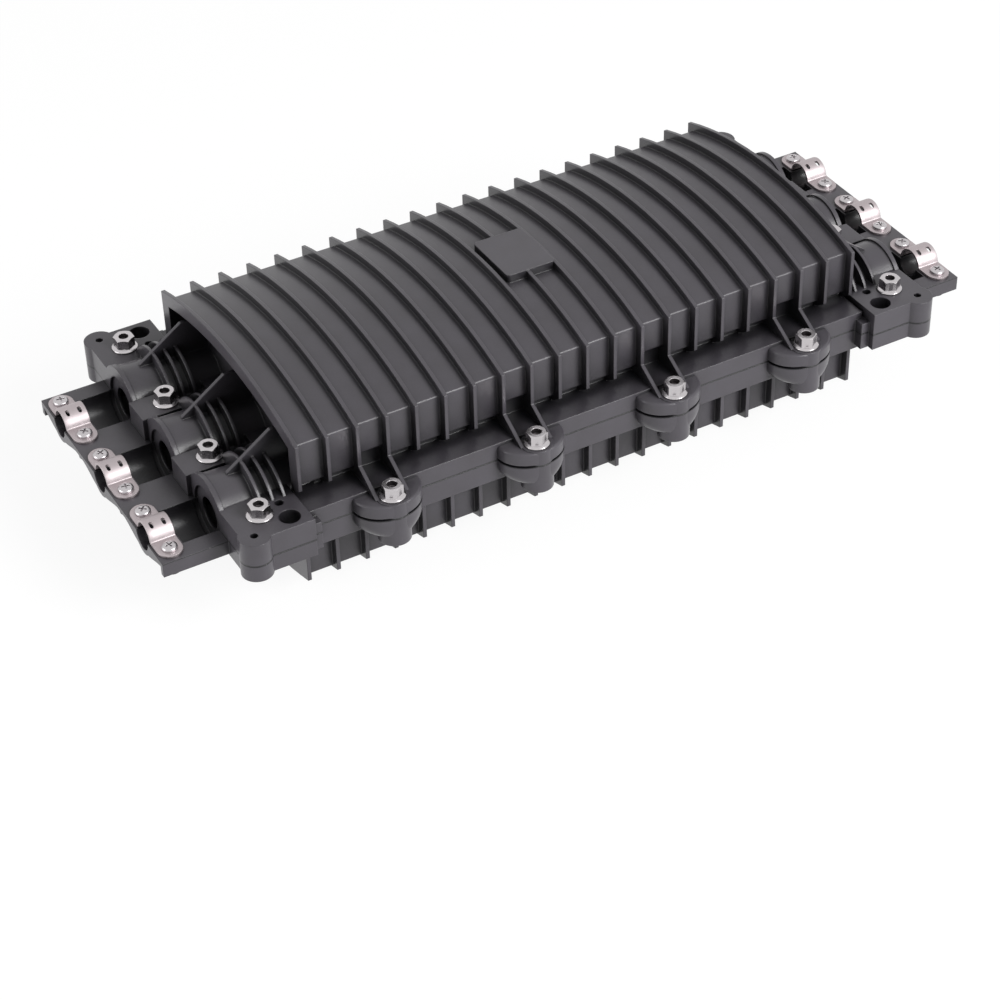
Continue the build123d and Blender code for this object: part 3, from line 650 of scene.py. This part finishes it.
# %% [markdown]
# ## Lug cheeks
#
# Each side bolt stands in a lug, and the plastic swells round it in plan like half an ellipse, so
# that the force of the bolt spreads along the rim. The upper cheek has a rounded upper edge and
# leaves a narrow slot at the joint. The lower one rounds off into the boss like a belly. Both are
# stacks of the same outline, which only changes its size with the height. A hole leaves room for the
# bolt and its insert, inside the round boss of the shell.

# %% Lug cheeks
rim_face = 90.3
cheek_half_width = 18.6
cheek_tip = 106.3
cheek_hole_radius = 6.5
boss_half_width = 8.2

# Heights from the joint
slot_roof = 1.3
shoulder = 7.0
shoulder_round = 1.4
slot_floor = -0.2
belly_start = -4.0
belly_depth = 8.5
belly_draw = 1.5


def cheek_outline(x, side, half_width, tip):
    """Half an ellipse that swells out of the rim, closed a little way inside it."""
    points = [(x - half_width, side * (rim_face - 0.6))]
    for k in range(25):
        angle = math.pi * k / 24
        reach = rim_face + (tip - rim_face) * math.sin(angle)
        points.append((x - half_width * math.cos(angle), side * reach))
    points.append((x + half_width, side * (rim_face - 0.6)))
    return points


def add_cheek(bm, x, side, rings):
    """A stack of outlines: each ring has a height above the joint, a half width and a tip."""
    loops = []
    for height, half_width, tip in rings:
        outline = cheek_outline(x, side, half_width, tip)
        loops.append([bm.verts.new((px, py, joint_height + height)) for px, py in outline])
    bm.faces.new(loops[0])
    bm.faces.new(loops[-1])
    for low, high in zip(loops, loops[1:]):
        for k in range(len(low)):
            j = (k + 1) % len(low)
            bm.faces.new((low[k], low[j], high[j], high[k]))


upper_rings = [(slot_roof, cheek_half_width, cheek_tip), (shoulder, cheek_half_width, cheek_tip)]
for k in range(1, 6):
    angle = math.pi / 2 * k / 5
    height = shoulder + shoulder_round * math.sin(angle)
    inward = shoulder_round * (1 - math.cos(angle))
    upper_rings.append((height, cheek_half_width - inward, cheek_tip - inward))

lower_rings = [(slot_floor, cheek_half_width, cheek_tip), (belly_start, cheek_half_width, cheek_tip)]
for k in range(1, 11):
    angle = math.pi / 2 * k / 10
    share = math.cos(angle)
    half_width = boss_half_width + (cheek_half_width - boss_half_width) * share
    height = belly_start - belly_depth * math.sin(angle)
    lower_rings.append((height, half_width, cheek_tip - belly_draw * (1 - share)))

for title, body, rings in (("upper", "lid", upper_rings), ("lower", "base", lower_rings)):
    bm, cutter = bmesh.new(), bmesh.new()
    for solid in solids_of("side_bolts"):
        x, y = middle(solid)
        add_cheek(bm, x, math.copysign(1, y), rings)
        hole = [(-20.0, cheek_hole_radius), (20.0, cheek_hole_radius)]
        add_ring_form(cutter, (x, y, joint_height), hole)
    make_piece(f"{title}_lug_cheeks", carve(bm, cutter), shell_plastic, body)

# %% [markdown]
# ## Cable clamps
#
# Each cable is held down by a strip of stainless sheet, folded over the cable with a round ear at
# each end. A folded sheet is a path with a thickness: two straight ears, two bends and an arch. The
# strip's edge is drawn in at the ends of the path, which makes the ears round. Two slots are punched
# through the near side of the arch, and the press rounds every edge a little.

# %% Clamps
sheet = 1.4
arch_radius = 7.2 + sheet / 2
bend_radius = 1.5
ear_place = 16.2
ear_radius = 6.6
slot_length = 3.8
slot_width = 2.0
slot_shift = 3.0
edge_round = 0.12


def clamp_path():
    """The middle line of the folded strip and its upward direction, from ear to ear."""
    lift = sheet / 2 + bend_radius
    foot = math.sqrt((arch_radius + bend_radius) ** 2 - lift**2)
    tangent = math.atan2(lift, foot)
    tip = ear_place + ear_radius
    half = []
    for i in range(13):
        half.append((tip - (tip - foot) * (1 - math.cos(math.pi * i / 24)), sheet / 2, 0.0, 1.0))
    for i in range(1, 7):
        angle = -math.pi / 2 - (math.pi / 2 - tangent) * i / 6
        y, z = foot + bend_radius * math.cos(angle), lift + bend_radius * math.sin(angle)
        half.append((y, z, -math.cos(angle), -math.sin(angle)))
    for i in range(1, 13):
        angle = tangent + (math.pi / 2 - tangent) * i / 12
        along, up = math.cos(angle), math.sin(angle)
        half.append((arch_radius * along, arch_radius * up, along, up))
    return half + [(-y, z, -along, up) for y, z, along, up in reversed(half[:-1])]


def add_clamp(bm, x, y):
    """The folded strip of one clamp, drawn across its cable."""
    steps = [-1.0, -0.94, -0.6, -0.2, 0.2, 0.6, 0.94, 1.0]
    top, under = [], []
    for along, up, lean, rise in clamp_path():
        beyond = max(0.0, abs(along) - ear_place) if up < sheet else 0.0
        reach = math.sqrt(max(ear_radius**2 - beyond**2, 0.05**2))
        for rows, sign in ((top, 1), (under, -1)):
            row = []
            for step in steps:
                half = sign * (sheet / 2 - (edge_round if abs(step) == 1.0 else 0.0))
                place = (x + reach * step, y + along + half * lean, joint_height + up + half * rise)
                row.append(bm.verts.new(place))
            rows.append(row)
    for rows in (top, under):
        for one, two in zip(rows, rows[1:]):
            for k in range(len(one) - 1):
                bm.faces.new((one[k], one[k + 1], two[k + 1], two[k]))
    for k in (0, -1):
        for i in range(len(top) - 1):
            bm.faces.new((top[i][k], top[i + 1][k], under[i + 1][k], under[i][k]))
    for i in (0, -1):
        for k in range(len(top[i]) - 1):
            bm.faces.new((top[i][k], top[i][k + 1], under[i][k + 1], under[i][k]))


def slot_outline(x, y):
    """A slot with round ends that runs along the strip."""
    run = slot_length / 2 - slot_width / 2
    points = []
    for end in (1, -1):
        for i in range(9):
            angle = math.pi * i / 8 + (0 if end > 0 else math.pi)
            across, along = slot_width / 2 * math.cos(angle), slot_width / 2 * math.sin(angle)
            points.append((x + across, y + end * run + along))
    return points


clamp_nodes = [f"cable_clamp_{end}_{i}" for end in ("left", "right") for i in (1, 2, 3)]
for node in clamp_nodes:
    x, y = middle(solids_of(node)[0])
    bm, cutter = bmesh.new(), bmesh.new()
    add_clamp(bm, x, y)
    for side in (-1, 1):
        slot = slot_outline(x + side * ear_radius / 2, y - slot_shift)
        add_prism(cutter, slot, joint_height + 4, joint_height + 12)
    name = node.replace("cable_clamp", "folded_clamp")
    make_piece(name, carve(bm, cutter), clamp_steel, "base", [node])

# %% [markdown]
# ## Pan-head screws
#
# The clamps and the mounting plate are held by pan-head screws with a cross recess. The head is a
# low dome, turned as rings, and the recess is a tapered cross cut into it. One screw of each kind is
# drawn and cut once, and then stamped at every place.

# %% Screws
cross_long = 2.3
cross_short = 0.5
cross_depth = 1.3
cross_taper = 0.3


def pan_screw(shank_radius, length, head_radius, dome_height, pitch):
    """One pan-head screw, with its seat at height nought."""
    head = []
    for i in range(9):
        angle = math.pi / 2 * i / 8
        height = dome_height * (0.35 + 0.65 * math.sin(angle))
        head.append((height, 0.02 + (head_radius - 0.02) * math.cos(angle) ** 0.6))
    rings = [(-length, 0.3), (-length + 0.8, shank_radius * 0.75)]
    rings += thread_rings(-length + 0.8, -0.8, shank_radius, pitch, 0.4, steps=6)
    rings += [(-0.4, shank_radius * 0.9), (0.0, shank_radius * 0.9)]
    rings += [(0.0, head_radius - 0.15), (0.15, head_radius)]
    bm, cutter = bmesh.new(), bmesh.new()
    add_ring_form(bm, (0, 0, 0), rings + head, 32)
    arm = [(cross_long, -cross_short), (cross_long, cross_short), (cross_short, cross_short)]
    cross = []
    for across, along in ((1, 0), (0, 1), (-1, 0), (0, -1)):
        cross += [(across * px - along * py, along * px + across * py) for px, py in arm]
    add_prism(cutter, cross, dome_height - cross_depth, dome_height + 1, cross_taper)
    return carve(bm, cutter)


plate_level = 31.2
screw_pitch = 1.2

# Each set has its seat, the radius and length of the shank, and the radius and height of the head
screw_sets = [
    ("clamp_screws_left", joint_height + sheet, 2.0, 10.0, 4.1, 2.3),
    ("clamp_screws_right", joint_height + sheet, 2.0, 10.0, 4.1, 2.3),
    ("plate_screws", plate_level, 1.9, 8.0, 4.0, 2.4),
]
for node, seat, shank, length, head, dome in screw_sets:
    pattern = pan_screw(shank, length, head, dome, screw_pitch)
    bm = bmesh.new()
    for k, solid in enumerate(solids_of(node)):
        x, y = middle(solid)
        turned = pattern.copy()
        turn = Matrix.Rotation(math.radians(17 + 31 * k), 3, "Z")
        bmesh.ops.rotate(turned, verts=turned.verts, matrix=turn)
        stamp(bm, turned, (x, y, seat))
        turned.free()
    pattern.free()
    make_piece(node.replace("screws", "pan_screws"), bm, screw_steel, "base", [node])

# %% [markdown]
# ## Studs and nuts of the tray stack
#
# Two studs run up through the trays, and a nut on each holds the stack. The studs are threaded rod
# with chamfered ends, and the nuts are hexagons whose corners are cut by a cone on both faces.

# %% Studs and nuts
stud_radius = 1.95
stud_thread = 9.0
stud_pitch = 0.7
nut_across = 7.79
nut_bore = 2.02
nut_face = 3.75

bm = bmesh.new()
for solid in solids_of("tray_studs"):
    x, y = middle(solid)
    low, high = solid[0][2], solid[1][2]
    rings = [(low, 1.6), (low + 0.4, stud_radius), (high - stud_thread, stud_radius)]
    rings += thread_rings(high - stud_thread, high - 0.5, stud_radius + 0.03, stud_pitch, 0.35, steps=7)
    rings += [(high, 1.5)]
    add_ring_form(bm, (x, y, 0), rings, 32)
make_piece("tray_threaded_studs", bm, screw_steel, "base", ["tray_studs"])

bm = bmesh.new()
for solid in solids_of("tray_nuts"):
    x, y = middle(solid)
    low, high = solid[0][2], solid[1][2]
    side = hexagon(nut_across)
    rings = [
        (low, nut_bore + 0.33),
        (low, nut_face),
        (low + 0.3, side),
        (high - 0.3, side),
        (high, nut_face),
        (high, nut_bore + 0.33),
        (high - 0.3, nut_bore),
        (low + 0.3, nut_bore),
    ]
    add_ring_form(bm, (x, y, 0), rings, 48, closed=True)
make_piece("tray_hexagon_nuts", bm, screw_steel, "base", ["tray_nuts"], 25.0)

# %% [markdown]
# ## Storage posts
#
# Spare fibre is wound round six nylon posts. Glass fibre must not be bent sharply, so the post
# swells smoothly into its flanges. The black foot below is a low cone with a rounded rim.

# %% Storage posts and their feet
rim_radius = 9.5
drum_radius = 7.0
swell = 2.0
post_bore = 3.2
foot_radius = 11.0

for i in range(1, 7):
    low, high = solids_of(f"storage_post_{i}")[0]
    x, y = middle((low, high))
    bottom, top = low[2], high[2]
    rings = [
        (bottom, post_bore + 0.1),
        (bottom, rim_radius - 0.4),
        (bottom + 0.3, rim_radius - 0.1),
        (bottom + 0.9, rim_radius),
        (bottom + 1.5, rim_radius - 0.15),
    ]
    for k in range(9):
        angle = math.pi / 2 * k / 8
        height = bottom + 1.8 + swell * (1 - math.cos(angle))
        rings.append((height, drum_radius + swell * (1 - math.sin(angle))))
    for k in range(9):
        angle = math.pi / 2 * k / 8
        height = top - 1.8 - swell * (1 - math.sin(angle))
        rings.append((height, drum_radius + swell * (1 - math.cos(angle))))
    rings += [
        (top - 1.5, rim_radius - 0.15),
        (top - 0.9, rim_radius),
        (top - 0.3, rim_radius - 0.1),
        (top, rim_radius - 0.4),
        (top, post_bore + 0.4),
        (top - 0.3, post_bore),
        (bottom + 0.1, post_bore),
    ]
    bm = bmesh.new()
    add_ring_form(bm, (x, y, 0), rings, 64, closed=True)
    make_piece(f"storage_drum_{i}", bm, post_nylon, "base", [f"storage_post_{i}"])

    low, high = solids_of(f"post_foot_{i}")[0]
    bottom, top = low[2], high[2]
    rings = [
        (bottom, post_bore),
        (bottom, foot_radius - 0.1),
        (bottom + 0.25, foot_radius),
        (top - 0.6, foot_radius - 0.4),
        (top - 0.2, foot_radius - 0.6),
        (top, foot_radius - 1.0),
        (top, post_bore + 0.3),
        (top - 0.3, post_bore),
    ]
    bm = bmesh.new()
    add_ring_form(bm, (x, y, 0), rings, 64, closed=True)
    make_piece(f"post_ring_{i}", bm, foot_plastic, "base", [f"post_foot_{i}"])

# %% [markdown]
# ## Gasket strips
#
# The strip that seals the joint is an extruded D: flat below, round on top, so that the lid first
# touches it along a narrow line. It is a section carried along the groove, with round ends.

# %% Gaskets
# The section is written in shares of the strip's half width and of its height
section = [(-1.0, 0.0), (-1.0, 0.45)]
for k in range(1, 12):
    angle = math.pi * k / 12
    section.append((-math.cos(angle), 0.45 + 0.55 * math.sin(angle)))
section += [(1.0, 0.45), (1.0, 0.0)]

for node in ("gasket_near", "gasket_far"):
    low, high = solids_of(node)[0]
    y = (low[1] + high[1]) / 2
    half = (high[1] - low[1]) / 2
    length = high[0] - low[0]
    stations = []
    for k in range(9):
        angle = math.pi / 2 * k / 8
        stations.append((low[0] + half * (1 - math.cos(angle)), max(math.sin(angle), 0.02)))
    for k in range(1, 40):
        stations.append((low[0] + half + (length - 2 * half) * k / 40, 1.0))
    stations += [(low[0] + high[0] - x, share) for x, share in reversed(stations[:9])]
    rise = high[2] - low[2]
    bm = bmesh.new()
    loops = []
    for x, share in stations:
        places = [(x, y + half * share * across, low[2] + rise * up) for across, up in section]
        loops.append([bm.verts.new(place) for place in places])
    for one, two in zip(loops, loops[1:]):
        for k in range(len(section)):
            j = (k + 1) % len(section)
            bm.faces.new((one[k], one[j], two[j], two[k]))
    bm.faces.new(loops[0])
    bm.faces.new(list(reversed(loops[-1])))
    make_piece(f"{node}_strip", bm, gasket_rubber, "base", [node])

# %% [markdown]
# ## Studio floor and room
#
# The photograph has a pure white ground. Enough light to make a floor look white would be too much
# for the box, so the floor glows only for rays that see it directly: from the camera, from a mirror
# or through a clear sheet. The part of it that doesn't glow keeps a soft shadow under the box. The
# room round it is white in the same way, and lights the box at about a third of that strength.

# %% Floor and room
floor_size = 6.0
floor_glow = 1.05
glow_share = 0.85
room_light = 0.36


def seen_directly(tree):
    """One where a ray comes from the camera, a mirror or a clear sheet, and nought elsewhere."""
    rays = add_node(tree, "LightPath").outputs
    seen = rays["Is Camera Ray"]
    for kind in ("Is Glossy Ray", "Is Transmission Ray"):
        seen = add_node(tree, "Math", {0: seen, 1: rays[kind]}, operation="MAXIMUM").outputs[0]
    return seen


bpy.ops.mesh.primitive_plane_add(size=floor_size, location=(0, 0, 0))
floor = bpy.context.object
floor.name = "studio_floor"
floor_white, tree, shader, place = start_material("white_paper_floor")
shader.inputs["Base Color"].default_value = colour("F4F4F4")
shader.inputs["Roughness"].default_value = 0.9
glow = add_node(tree, "Emission", {"Color": (1, 1, 1, 1), "Strength": floor_glow})
share = add_node(tree, "Math", {0: seen_directly(tree), 1: glow_share}, operation="MULTIPLY")
blend = add_node(tree, "MixShader", {0: share.outputs[0], 1: shader.outputs[0], 2: glow.outputs[0]})
tree.links.new(blend.outputs[0], tree.nodes["Material Output"].inputs["Surface"])
floor.data.materials.append(floor_white)

world = bpy.data.worlds.new("bright_room")
bpy.context.scene.world = world
world.use_nodes = True
tree = world.node_tree
room = tree.nodes["Background"]
strength = add_node(tree, "MapRange", {"Value": seen_directly(tree), "To Min": room_light, "To Max": 1.0})
tree.links.new(strength.outputs["Result"], room.inputs["Strength"])
room.inputs["Color"].default_value = (1, 1, 1, 1)
print("floor", floor_size, "m wide, room", world.name)

# %% [markdown]
# ## Soft boxes
#
# A large square lamp in front at the right gives each fin a light side and a dark side. A weaker one
# low at the left brightens the faces that point that way, as in the photograph. Large lamps near the
# object make soft shadows and broad highlights, as a photographer's soft boxes do.

# %% Lamps


def soft_lamp(name, place, aim, size, power):
    """A square soft box at a place, turned to face a point."""
    data = bpy.data.lights.new(name, "AREA")
    data.shape = "SQUARE"
    data.size = size
    data.energy = power
    lamp = bpy.data.objects.new(name, data)
    lamp.location = place
    lamp.rotation_euler = (Vector(aim) - Vector(place)).to_track_quat("-Z", "Y").to_euler()
    bpy.context.scene.collection.objects.link(lamp)
    return lamp


lamps = [
    soft_lamp("front_soft_box", (0.77, -1.65, 1.23), (0, 0, 0.05), 1.1, 46.0),
    soft_lamp("left_soft_box", (-1.7, 0.25, 0.45), (-0.2, 0, 0.05), 0.9, 12.0),
]
print("lamps", [lamp.name for lamp in lamps])

# %% [markdown]
# ## Camera
#
# The camera was worked out from the photograph: the even rows of fins and bolts fix its place, its
# direction and its lens. It stands to the left and in front of the box and looks down on it.

# %% Camera at the photograph's view
camera_place = Vector((-0.56223, -1.00914, 0.86213))
heading = math.radians(28.706)
tilt_down = math.radians(38.567)
roll = math.radians(-1.538)
camera_data = bpy.data.cameras.new("photo_camera")
camera_data.sensor_width = 36.0
camera_data.lens = 93.85
camera = bpy.data.objects.new("photo_camera", camera_data)
camera.matrix_world = (
    Matrix.Translation(camera_place)
    @ Matrix.Rotation(-heading, 4, "Z")
    @ Matrix.Rotation(math.pi / 2 - tilt_down, 4, "X")
    @ Matrix.Rotation(roll, 4, "Z")
)
bpy.context.scene.collection.objects.link(camera)
bpy.context.scene.camera = camera
bpy.context.scene.view_settings.view_transform = "Standard"
print("camera right", [round(v, 4) for v in camera.matrix_world.col[0][:3]])
